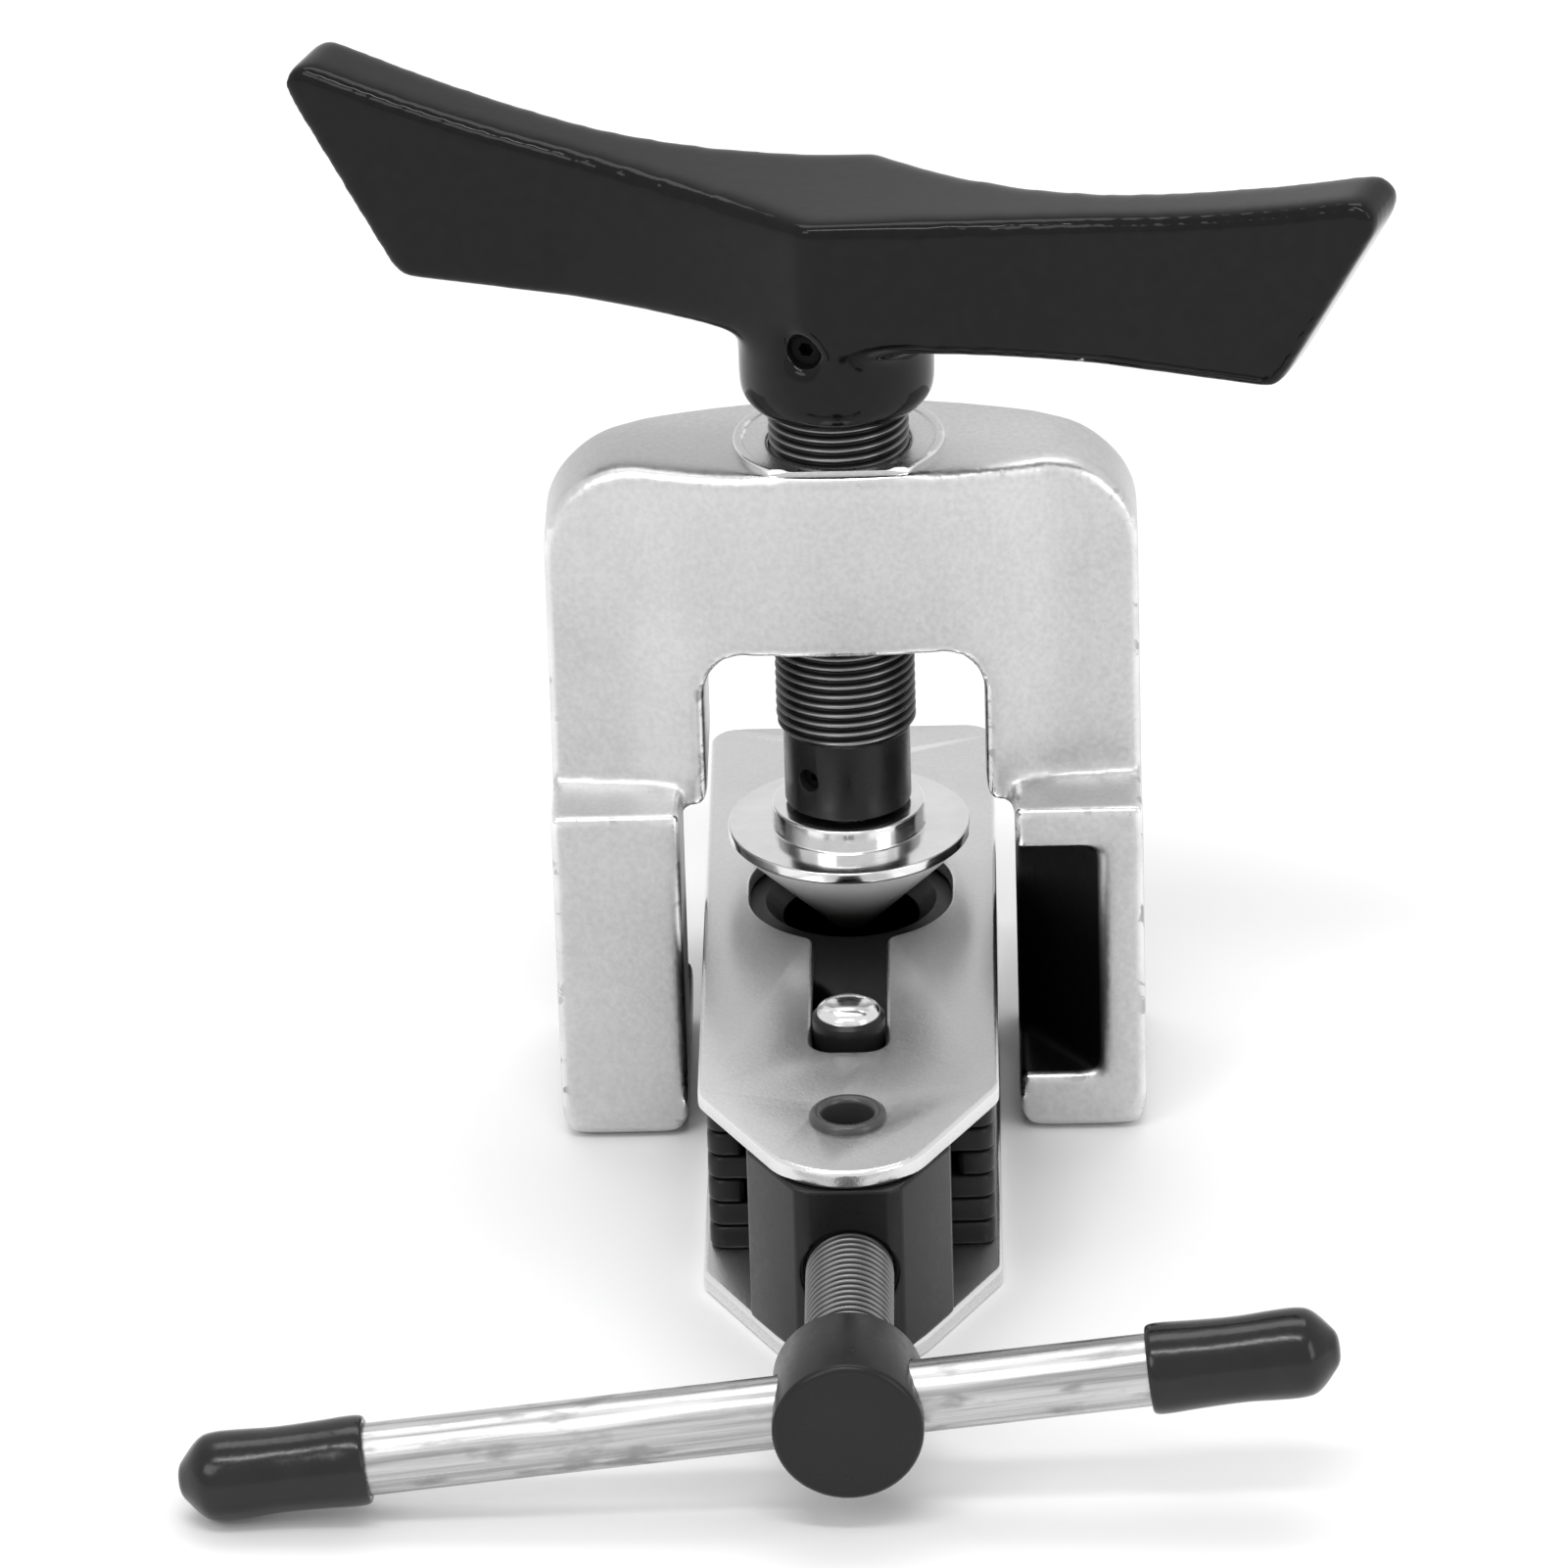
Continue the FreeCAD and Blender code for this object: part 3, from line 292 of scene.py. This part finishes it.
def keep_side(obj, point, normal):
    """Cut a closed piece with a plane, keep the side the normal leaves and cap the cut."""
    def work(bm):
        everything = list(bm.verts) + list(bm.edges) + list(bm.faces)
        cut = bmesh.ops.bisect_plane(bm, geom=everything, plane_co=Vector(point) * MM,
                                     plane_no=Vector(normal), clear_outer=True)
        rim = [item for item in cut["geom_cut"] if isinstance(item, bmesh.types.BMEdge)]
        bmesh.ops.edgeloop_fill(bm, edges=rim)
        bmesh.ops.recalc_face_normals(bm, faces=bm.faces)
    edit(obj.data, work)


def along_y():
    """Places a piece made about Z so that its Z runs along +Y at the clamp screw's height."""
    place = Matrix.Translation((0, 0, SCREW_HEIGHT * MM))
    return place @ Matrix.Rotation(math.radians(-90), 4, "X")


def along_bar():
    """Places a piece made about Z so that its Z runs along the tilted bar, towards +X."""
    place = Matrix.Translation((0, BAR_PLACE * MM, SCREW_HEIGHT * MM))
    return place @ Matrix.Rotation(math.pi / 2 - BAR_TILT, 4, "Y")


# ---------------------------------------------------------------- materials
class Look:
    """A Principled material that is put together from procedural parts."""

    def __init__(self, name, color, metallic, roughness, **sockets):
        self.material = bpy.data.materials.new(name)
        self.material.use_nodes = True
        self.tree = self.material.node_tree
        self.shader = self.tree.nodes["Principled BSDF"]
        self.shader.inputs["Base Color"].default_value = (color, color, color, 1)
        self.shader.inputs["Metallic"].default_value = metallic
        self.shader.inputs["Roughness"].default_value = roughness
        for socket, number in sockets.items():
            self.shader.inputs[socket.replace("_", " ")].default_value = number
        self.place = self.add("ShaderNodeTexCoord").outputs["Object"]

    def add(self, kind, **settings):
        node = self.tree.nodes.new(kind)
        for key, value in settings.items():
            setattr(node, key, value)
        return node

    def link(self, source, target):
        """Feed a node's input from another node's output, or set it to a number."""
        if isinstance(source, (int, float)):
            target.default_value = source
        else:
            self.tree.links.new(source, target)

    def mapped(self, scale, turn=(0, 0, 0), shift=(0, 0, 0)):
        """The object's own coordinates, turned and then stretched."""
        turned = self.add("ShaderNodeMapping")
        turned.inputs["Location"].default_value = shift
        turned.inputs["Rotation"].default_value = turn
        self.link(self.place, turned.inputs["Vector"])
        stretched = self.add("ShaderNodeMapping")
        stretched.inputs["Scale"].default_value = scale
        self.link(turned.outputs[0], stretched.inputs["Vector"])
        return stretched.outputs[0]

    def noise(self, scale, detail=3.0, vector=None, distortion=0.0):
        node = self.add("ShaderNodeTexNoise")
        node.inputs["Scale"].default_value = scale
        node.inputs["Detail"].default_value = detail
        node.inputs["Distortion"].default_value = distortion
        self.link(vector or self.place, node.inputs["Vector"])
        return node.outputs["Fac"]

    def ramp(self, source, low_in, high_in, low_out, high_out):
        """The source spread from one span to another and held at its ends."""
        node = self.add("ShaderNodeMapRange", clamp=True)
        for key, number in (("From Min", low_in), ("From Max", high_in),
                            ("To Min", low_out), ("To Max", high_out)):
            node.inputs[key].default_value = number
        self.link(source, node.inputs["Value"])
        return node.outputs["Result"]

    def math(self, operation, first, second=0):
        node = self.add("ShaderNodeMath", operation=operation)
        self.link(first, node.inputs[0])
        self.link(second, node.inputs[1])
        return node.outputs[0]

    def pointiness(self, low, high):
        """Nought on flats and one on outside edges."""
        return self.ramp(self.add("ShaderNodeNewGeometry").outputs["Pointiness"], low, high, 0, 1)

    def distance_from_axis(self, keep, shift=(0, 0, 0)):
        """Distance in metres from the axis that keep leaves out."""
        node = self.add("ShaderNodeVectorMath", operation="LENGTH")
        self.link(self.mapped(keep, shift=shift), node.inputs[0])
        return node.outputs["Value"]

    def hook_shade_mask(self):
        """A painted-shade mask: one on the walls of the two pockets in the yoke's legs, which turn
        into each other.
        """
        parts = self.add("ShaderNodeSeparateXYZ")
        self.link(self.place, parts.inputs[0])
        across, along, height = parts.outputs
        along = self.math("MULTIPLY", along, self.math("SIGN", across))
        mask = self.ramp(self.math("ABSOLUTE", across), 0.0306, 0.0311, 1, 0)
        for source, start, end, first, last in (
                (along, -0.0153, -0.0146, 0, 1), (along, 0.001, 0.0015, 1, 0),
                (height, 0.0069, 0.0075, 0, 1), (height, 0.0365, 0.0371, 1, 0)):
            mask = self.math("MULTIPLY", mask, self.ramp(source, start, end, first, last))
        return mask

    def blend(self, share, first, second):
        """first where share is nought and second where it is one."""
        node = self.add("ShaderNodeMix", data_type="FLOAT")
        self.link(share, node.inputs[0])
        self.link(first, node.inputs[2])
        self.link(second, node.inputs[3])
        return node.outputs[0]

    def use(self, socket, source):
        self.link(source, self.shader.inputs[socket])

    def bump(self, source, strength, distance):
        """Roughen the surface by the source, distance in mm."""
        node = self.add("ShaderNodeBump")
        node.inputs["Strength"].default_value = strength
        node.inputs["Distance"].default_value = distance * MM
        self.link(source, node.inputs["Height"])
        self.link(node.outputs["Normal"], self.shader.inputs["Normal"])


def nickel(name, pebble, strength, color_low, color_high, rough_low, rough_high, chips_and_hook_shade=False):
    """Satin nickel plate, smoother and lighter along its edges (partly polish, partly painted
    highlight), with painted shade making the yoke's hooks dark.
    """
    look = Look(name, 0.6, 1.0, 0.4)
    fine = look.noise(pebble, 4.0)
    broad = look.noise(70.0, 2.0)
    mixed = look.math("ADD", look.math("MULTIPLY", fine, 0.6), look.math("MULTIPLY", broad, 0.4))
    edge = look.pointiness(0.508, 0.54)
    color = look.ramp(mixed, 0.35, 0.65, color_low, color_high)
    # Edges painted lighter: partly polished plating, partly painted highlight.
    color = look.blend(edge, color, 0.86)
    if chips_and_hook_shade:
        worn = look.ramp(look.noise(420.0, 4.0, distortion=0.5), 0.6, 0.64, 0, 0.8)
        color = look.blend(look.math("MULTIPLY", worn, edge), color, 0.06)
        # Painted shade: the walls of the hooks are painted near black.
        color = look.blend(look.hook_shade_mask(), color, 0.035)
    look.use("Base Color", color)
    rough = look.ramp(mixed, 0.3, 0.7, rough_low, rough_high)
    look.use("Roughness", look.blend(edge, rough, 0.16))
    look.bump(fine, strength, 0.12)
    return look.material


def black_steel(name, color=0.014, shine=0.3, rough=0.3, axis=None, shift=(0, 0, 0), crest=None):
    """Blackened steel. axis, shift and crest brighten the crests of a thread about that axis."""
    look = Look(name, color, 0.3, rough, Specular_IOR_Level=shine)
    broad = look.noise(60.0, 2.0)
    fine = look.noise(900.0, 2.0)
    tone = look.ramp(broad, 0.3, 0.7, color * 0.8, color * 1.2)
    if crest:
        away = look.distance_from_axis(axis, shift)
        # Thread crests lighter and fully metallic.
        crest_lightening = look.ramp(away, (crest - 0.3) * MM, crest * MM, 0, 0.8)
        tone = look.blend(crest_lightening, tone, 0.3)
        look.use("Metallic", look.blend(crest_lightening, 0.3, 1.0))
    look.use("Base Color", tone)
    look.use("Roughness", look.ramp(fine, 0.3, 0.7, rough * 0.9, rough * 1.15))
    return look.material


def polished(name, axis_keep, color=0.8, satin_below=None):
    """Turned and polished steel with faint lathe rings, satin below a height in mm."""
    look = Look(name, color, 1.0, 0.1)
    away = look.distance_from_axis(axis_keep)
    height = look.add("ShaderNodeSeparateXYZ")
    look.link(look.place, height.inputs[0])
    rings = look.add("ShaderNodeCombineXYZ")
    look.link(away, rings.inputs[0])
    look.link(height.outputs[2], rings.inputs[2])
    marks = look.noise(5200.0, 2.0, rings.outputs[0])
    stain = look.noise(240.0, 4.0)
    look.use("Base Color", look.ramp(stain, 0.3, 0.7, color * 0.92, color * 1.05))
    rough = look.ramp(marks, 0.3, 0.7, 0.09, 0.2)
    if satin_below:
        satin = look.ramp(height.outputs[2], (satin_below - 0.2) * MM, satin_below * MM, 1, 0)
        rough = look.blend(satin, rough, 0.45)
        look.use("Metallic", look.blend(satin, 1.0, 0.1))
    look.use("Roughness", rough)
    look.bump(marks, 0.1, 0.02)
    return look.material


def bright_bar():
    """Bright plating with scratches along the bar and dull patches."""
    look = Look("bright_bar", 0.7, 1.0, 0.3)
    streaks = look.noise(1.0, 5.0, look.mapped((45, 1700, 1700), turn=(0, BAR_TILT, 0)))
    patches = look.noise(1.0, 3.0, look.mapped((160, 420, 420), turn=(0, BAR_TILT, 0)))
    spots = look.ramp(patches, 0.54, 0.7, 0, 1)
    color = look.ramp(streaks, 0.32, 0.62, 0.36, 0.62)
    look.use("Base Color", look.blend(spots, color, 0.3))
    look.use("Roughness", look.blend(spots, look.ramp(streaks, 0.3, 0.7, 0.22, 0.36), 0.4))
    look.bump(streaks, 0.2, 0.03)
    return look.material


def vinyl():
    """Dipped black vinyl with shallow dents."""
    look = Look("black_vinyl", 0.006, 0.0, 0.2, Specular_IOR_Level=0.4)
    dents = look.noise(260.0, 3.0)
    fine = look.noise(2600.0, 2.0)
    look.use("Base Color", look.ramp(dents, 0.3, 0.7, 0.005, 0.009))
    look.use("Roughness", look.ramp(fine, 0.3, 0.7, 0.15, 0.24))
    look.bump(dents, 0.35, 0.25)
    return look.material


def enamel():
    """Black enamel, chipped to bright metal here and there along its edges."""
    look = Look("black_enamel", 0.004, 0.0, 0.16, Specular_IOR_Level=0.2)
    peel = look.noise(620.0, 2.0)
    chips = look.ramp(look.noise(330.0, 5.0, distortion=0.6), 0.57, 0.6, 0, 1)
    edge = look.pointiness(0.535, 0.56)
    bare = look.math("MULTIPLY", chips, edge)
    look.use("Base Color", look.blend(bare, look.ramp(peel, 0.3, 0.7, 0.003, 0.005), 0.45))
    look.use("Metallic", bare)
    look.use("Roughness", look.blend(bare, look.ramp(peel, 0.3, 0.7, 0.07, 0.12), 0.35))
    look.bump(peel, 0.12, 0.1)
    return look.material


def pale_floor():
    """A matt floor, nearly white."""
    look = Look("pale_floor", 0.85, 0.0, 0.7)
    look.use("Base Color", look.ramp(look.noise(9.0, 3.0), 0.3, 0.7, 0.86, 0.88))
    return look.material


CAST_NICKEL = nickel("nickel_casting", 1500.0, 0.3, 0.55, 0.66, 0.34, 0.46, chips_and_hook_shade=True)
RING_NICKEL = nickel("turned_nickel", 2600.0, 0.1, 0.55, 0.66, 0.24, 0.32)
PLATE_NICKEL = nickel("nickel_plate", 2600.0, 0.22, 0.56, 0.66, 0.34, 0.44)
BLACK = black_steel("black_steel")
# Painted shade: a darker, duller copy of the black steel for the two screws sunk in holes, so the
# holes read dark.
HOLE_SHADE_STEEL = black_steel("hole_shade_steel", 0.004, 0.1, 0.5)
FEED_BLACK = black_steel("feed_thread_steel", 0.01, axis=(1, 1, 0), crest=FEED_RADIUS)
CLAMP_BLACK = black_steel("clamp_thread_steel", 0.02, axis=(1, 0, 1),
                          shift=(0, 0, -SCREW_HEIGHT * MM), crest=CLAMP_RADIUS)
DIE_STEEL = black_steel("die_steel", 0.01, 0.35, 0.34)
RIVET_STEEL = black_steel("rivet_steel", 0.06, 0.5, 0.28)
POLISHED = polished("polished_steel", (1, 1, 0), 0.8, satin_below=32.2)
DOME = polished("polished_dome", (1, 1, 1), 0.85)
BAR = bright_bar()
VINYL = vinyl()
ENAMEL = enamel()


def finish_piece(obj, body, material, slot, *nodes):
    """Dress a new piece, hang it on its body and let it stand for its CAD nodes."""
    obj.data.materials.clear()
    obj.data.materials.append(material)
    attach(obj, body)
    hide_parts(*nodes)


# ---------------------------------------------------------------- die body
for label in ("top", "bottom"):
    plate = bevelled(label + "_plate", "rounded_%s_plate" % label, 0.55, 4)
    finish_piece(plate, "die_body", PLATE_NICKEL, "nickel_plate", label + "_plate")


def around_tube(point):
    """The rims of the tube hole, which are chamfered already."""
    return math.hypot(point.x, point.y) < 10.5


for number in range(1, LEAF_COUNT + 1):
    node = "die_leaf_%d" % number
    leaf = bevelled(node, "rounded_" + node, 0.6, 3, spare=around_tube)
    finish_piece(leaf, "leaves_a" if number % 2 else "leaves_b", DIE_STEEL, "die_steel", node)
block = bevelled("nut_block", "rounded_nut_block", 0.3, 2, 18)
finish_piece(block, "die_body", BLACK, "black_steel", "nut_block")


RIVET_PLACE = -59.1
RIVET_ROOT = 18.6
RIVET_SEAT = 25.6
RIVET_TOP = 26.5
RIVET_BORE = 2.9
RIVET_SHANK = 3.6
rivet_points = rounded_profile([
    (RIVET_BORE, RIVET_ROOT + 0.7, 0), (RIVET_BORE, RIVET_SEAT - 0.2, 0),
    (RIVET_BORE, RIVET_TOP - 0.45, 0.5), (3.3, RIVET_TOP, 0.4), (4.05, RIVET_TOP, 0.5),
    (4.4, RIVET_TOP - 0.54, 0.3), (4.38, RIVET_SEAT, 0), (RIVET_SHANK, RIVET_SEAT, 0),
    (RIVET_SHANK, RIVET_ROOT, 0), (RIVET_BORE, RIVET_ROOT, 0)], 5)
rivet = lathe("rolled_front_rivet", rivet_points, Matrix.Translation((0, RIVET_PLACE * MM, 0)),
              72, closed=True)
finish_piece(rivet, "die_body", RIVET_STEEL, "rivet_steel", "front_rivet_top")

# ---------------------------------------------------------------- clamp pin
DOME_RADIUS = 3.65
DOME_FOOT = 27.4
DOME_SPRING = 27.5
DOME_RISE = 1.5
DOME_STEPS = 24
dome_points = [Vector((0, DOME_FOOT)), Vector((DOME_RADIUS, DOME_FOOT))]
for step in range(DOME_STEPS + 1):
    turn = math.radians(90 * step / DOME_STEPS)
    height = DOME_SPRING + DOME_RISE * math.sin(turn)
    dome_points.append(Vector((DOME_RADIUS * math.cos(turn), height)))
dome = lathe("domed_pin_head", dome_points, Matrix.Translation((0, PIN_PLACE * MM, 0)), 144)
finish_piece(dome, "clamp_slide", DOME, "polished_steel", "pin_dome")

# ---------------------------------------------------------------- clamp screw and bar
head = bevelled("clamp_screw", "clamp_screw_head", 0.25, 2)
combine(head, box_mesh("head_box", (-20, -120, -10), (20, -90.4, 40)), "INTERSECT")
thread = threaded_rod("clamp_thread", CLAMP_RADIUS, -91.0, -62.0, 0.62, 0.0, along_y(), 72)
tip_points = [(0, -62.4), (4.3, -62.4), (4.3, -61.4), (2.5, -59.6), (2.5, -37.2), (2.1, -36.8),
              (0, -36.8)]
tip = lathe("clamp_tip", tip_points, along_y(), 48)
shade(head.data)
finish_piece(head, "clamp_screw", BLACK, "black_steel", "clamp_screw")
finish_piece(thread, "clamp_screw", CLAMP_BLACK, "black_steel", "clamp_screw")
finish_piece(tip, "clamp_screw", BLACK, "black_steel", "clamp_screw")

BAR_RADIUS = 4.0
BAR_LEFT = -71.5
BAR_RIGHT = 51.5
bar_points = rounded_profile([
    (0, BAR_LEFT, 0), (BAR_RADIUS, BAR_LEFT, 0.5), (BAR_RADIUS, BAR_RIGHT, 0.5),
    (0, BAR_RIGHT, 0)])
bar = lathe("round_t_bar", bar_points, along_bar(), 96)
finish_piece(bar, "tbar", BAR, "bright_bar", "t_bar")


def vinyl_cap(name, node, end, sign):
    """A dipped cap with a blunt pointed nose at end, a waist and a rolled open end."""
    corners = [(0, 0, 0), (1.6, 0.1, 0.8), (4.5, 2.5, 2.0), (5.0, 4.2, 1.6), (4.9, 7.5, 2),
               (4.68, 11.0, 3), (4.86, 16.5, 3), (5.0, 18.6, 1.2), (5.0, 20.4, 0.8),
               (4.7, 21.0, 0.4), (4.02, 20.9, 0)]
    points = [(point[0], end + sign * point[1]) for point in rounded_profile(corners, 6)]
    cap = lathe(name, points, along_bar(), 80)
    finish_piece(cap, "tbar", VINYL, "black_vinyl", node)


vinyl_cap("dipped_cap_left", "bar_cap_left", -74.0, 1)
vinyl_cap("dipped_cap_right", "bar_cap_right", 54.0, -1)


# ---------------------------------------------------------------- yoke, feed screw, cone, handle
YOKE_TOP = 82.0
BORE_EDGE = 9.2
BORE_ROUNDS = 2
LEAST_ROUNDS = 10
TOP_ROUNDS = 34
EDGE_ROUNDS = 70


def yoke_rounds(point):
    """The bore stays crisp, and the outside corners along the top are the softest."""
    if math.hypot(point.x, point.y) < BORE_EDGE:
        return BORE_ROUNDS
    across = abs(point.x)
    top = rise(point.z, 74.0, 5.0)
    foot = rise(5.0 - point.z, 0.0, 4.0)
    taper = min(rise(across, 19.0, 2.0), rise(30.0 - across, 0.0, 2.0),
                rise(point.z, 42.0, 4.0), rise(78.0 - point.z, 0.0, 4.0))
    return int(LEAST_ROUNDS + max(TOP_ROUNDS * top, EDGE_ROUNDS * foot, EDGE_ROUNDS * taper))


def lower_ring(bm):
    """Bring the turned ring down to the top face, where a crisp one takes its place."""
    for vert in bm.verts:
        vert.co.z = min(vert.co.z, YOKE_TOP * MM)


yoke = cast("yoke", "cast_yoke", 0.5, yoke_rounds, 0.45)
edit(yoke.data, lower_ring)
shade(yoke.data, 50)
finish_piece(yoke, "yoke", CAST_NICKEL, "nickel_casting", "yoke")
ring_points = rounded_profile([
    (8.25, 79.0, 0), (8.25, 82.2, 0.3), (8.7, 82.4, 0.3), (10.9, 82.4, 0.3), (11.3, 82.78, 0.25),
    (12.25, 82.78, 0.35), (12.25, 79.0, 0)], 5)
ring = lathe("turned_yoke_ring", ring_points, Matrix(), 144, closed=True)
combine(ring, box_mesh("ring_box", (-13, -9.3, 78), (13, 12.4, 84)), "INTERSECT")
shade(ring.data)
finish_piece(ring, "yoke", RING_NICKEL, "nickel_casting", "yoke")

sleeve = bevelled("feed_screw", "feed_sleeve", 0.2, 2)
keep_side(sleeve, (0, 0, 46.7), (0, 0, 1))
shade(sleeve.data)
finish_piece(sleeve, "feed", BLACK, "black_steel", "feed_screw")
feed_thread = threaded_rod("feed_thread", FEED_RADIUS, 46.4, 91.0, 0.66, 0.7)
finish_piece(feed_thread, "feed", FEED_BLACK, "black_steel", "feed_screw")

cone_points = rounded_profile([
    (0, 18.2, 0), (14.0, 32.2, 0.1), (14.1, 32.35, 0.1), (14.1, 33.5, 0.25), (8.9, 33.5, 0.3),
    (8.9, 36.3, 0.4), (4.0, 36.3, 0), (4.0, 40.1, 0), (3.2, 40.1, 0), (3.2, 42.9, 0),
    (4.0, 42.9, 0), (4.0, 45.0, 0), (0, 45.0, 0)], 4)
cone = lathe("polished_cone", cone_points, Matrix(), 144)
finish_piece(cone, "cone_carriage", POLISHED, "polished_steel", "flaring_cone")

HANDLE_ROUNDS = 30
handle = cast("feed_handle", "enamelled_handle", 0.5, lambda point: HANDLE_ROUNDS)
finish_piece(handle, "feed", ENAMEL, "black_enamel", "feed_handle")

# ---------------------------------------------------------------- CAD nodes that stay
KEPT = {
    "front_rivet_bottom": RIVET_STEEL, "rear_pivot_rivet": RIVET_STEEL, "snap_ring": RIVET_STEEL,
    "handle_set_screw": HOLE_SHADE_STEEL, "cone_retaining_screw": HOLE_SHADE_STEEL, "clamp_pin": BLACK,
    "pin_collar_top": BLACK, "pin_collar_bottom": BLACK, "thrust_ball": POLISHED,
}
for node, material in KEPT.items():
    for piece_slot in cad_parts[node].material_slots:
        piece_slot.material = material

# ---------------------------------------------------------------- floor, light, camera
floor_bm = bmesh.new()
bmesh.ops.create_grid(floor_bm, x_segments=8, y_segments=8, size=4.0)
floor = object_from(floor_bm, "floor")
floor.data.materials.append(pale_floor())

world = bpy.data.worlds.new("studio")
world.use_nodes = True
sky = world.node_tree.nodes["Background"]
sky.inputs["Color"].default_value = (1, 1, 1, 1)
sky.inputs["Strength"].default_value = 0.86
bpy.context.scene.world = world


def softbox(name, place, aim, width, height, power):
    """A rectangular area light at place, in metres, that points at aim."""
    lamp = bpy.data.lights.new(name, "AREA")
    lamp.shape = "RECTANGLE"
    lamp.size = width
    lamp.size_y = height
    lamp.energy = power
    obj = add_object(name, lamp)
    obj.location = place
    facing = Vector(aim) - Vector(place)
    obj.rotation_euler = facing.to_track_quat("-Z", "Y").to_euler()


CENTRE = (0, 0, 0.05)
softbox("key", (-0.7, -0.9, 0.9), CENTRE, 0.5, 0.5, 2.5)
softbox("edge", (-0.1, -0.5, 1.05), CENTRE, 0.7, 0.12, 3.2)
softbox("fill", (0.9, -0.7, 0.5), CENTRE, 0.4, 0.7, 2.0)
softbox("top", (0, 0.35, 1.1), CENTRE, 0.9, 0.4, 3.0)

CAMERA_AZIMUTH = math.radians(1.402)
CAMERA_ELEVATION = math.radians(26.177)
CAMERA_ROLL = math.radians(-1.725)
CAMERA_TARGET = Vector((-7.462, 0, 38.305)) * MM
CAMERA_DISTANCE = 1277.7 * MM
back = Vector((math.sin(CAMERA_AZIMUTH) * math.cos(CAMERA_ELEVATION),
               -math.cos(CAMERA_AZIMUTH) * math.cos(CAMERA_ELEVATION),
               math.sin(CAMERA_ELEVATION)))
level = Vector((math.cos(CAMERA_AZIMUTH), math.sin(CAMERA_AZIMUTH), 0))
upright = back.cross(level)
right = level * math.cos(CAMERA_ROLL) + upright * math.sin(CAMERA_ROLL)
up = back.cross(right)
lens = bpy.data.cameras.new("camera")
lens.lens = 252.05
lens.sensor_width = 36.0
lens.clip_end = 20.0
camera = add_object("camera", lens)
placing = Matrix((right, up, back)).transposed().to_4x4()
placing.translation = CAMERA_TARGET + back * CAMERA_DISTANCE
camera.matrix_world = placing
bpy.context.scene.camera = camera
bpy.context.scene.view_settings.view_transform = "Standard"
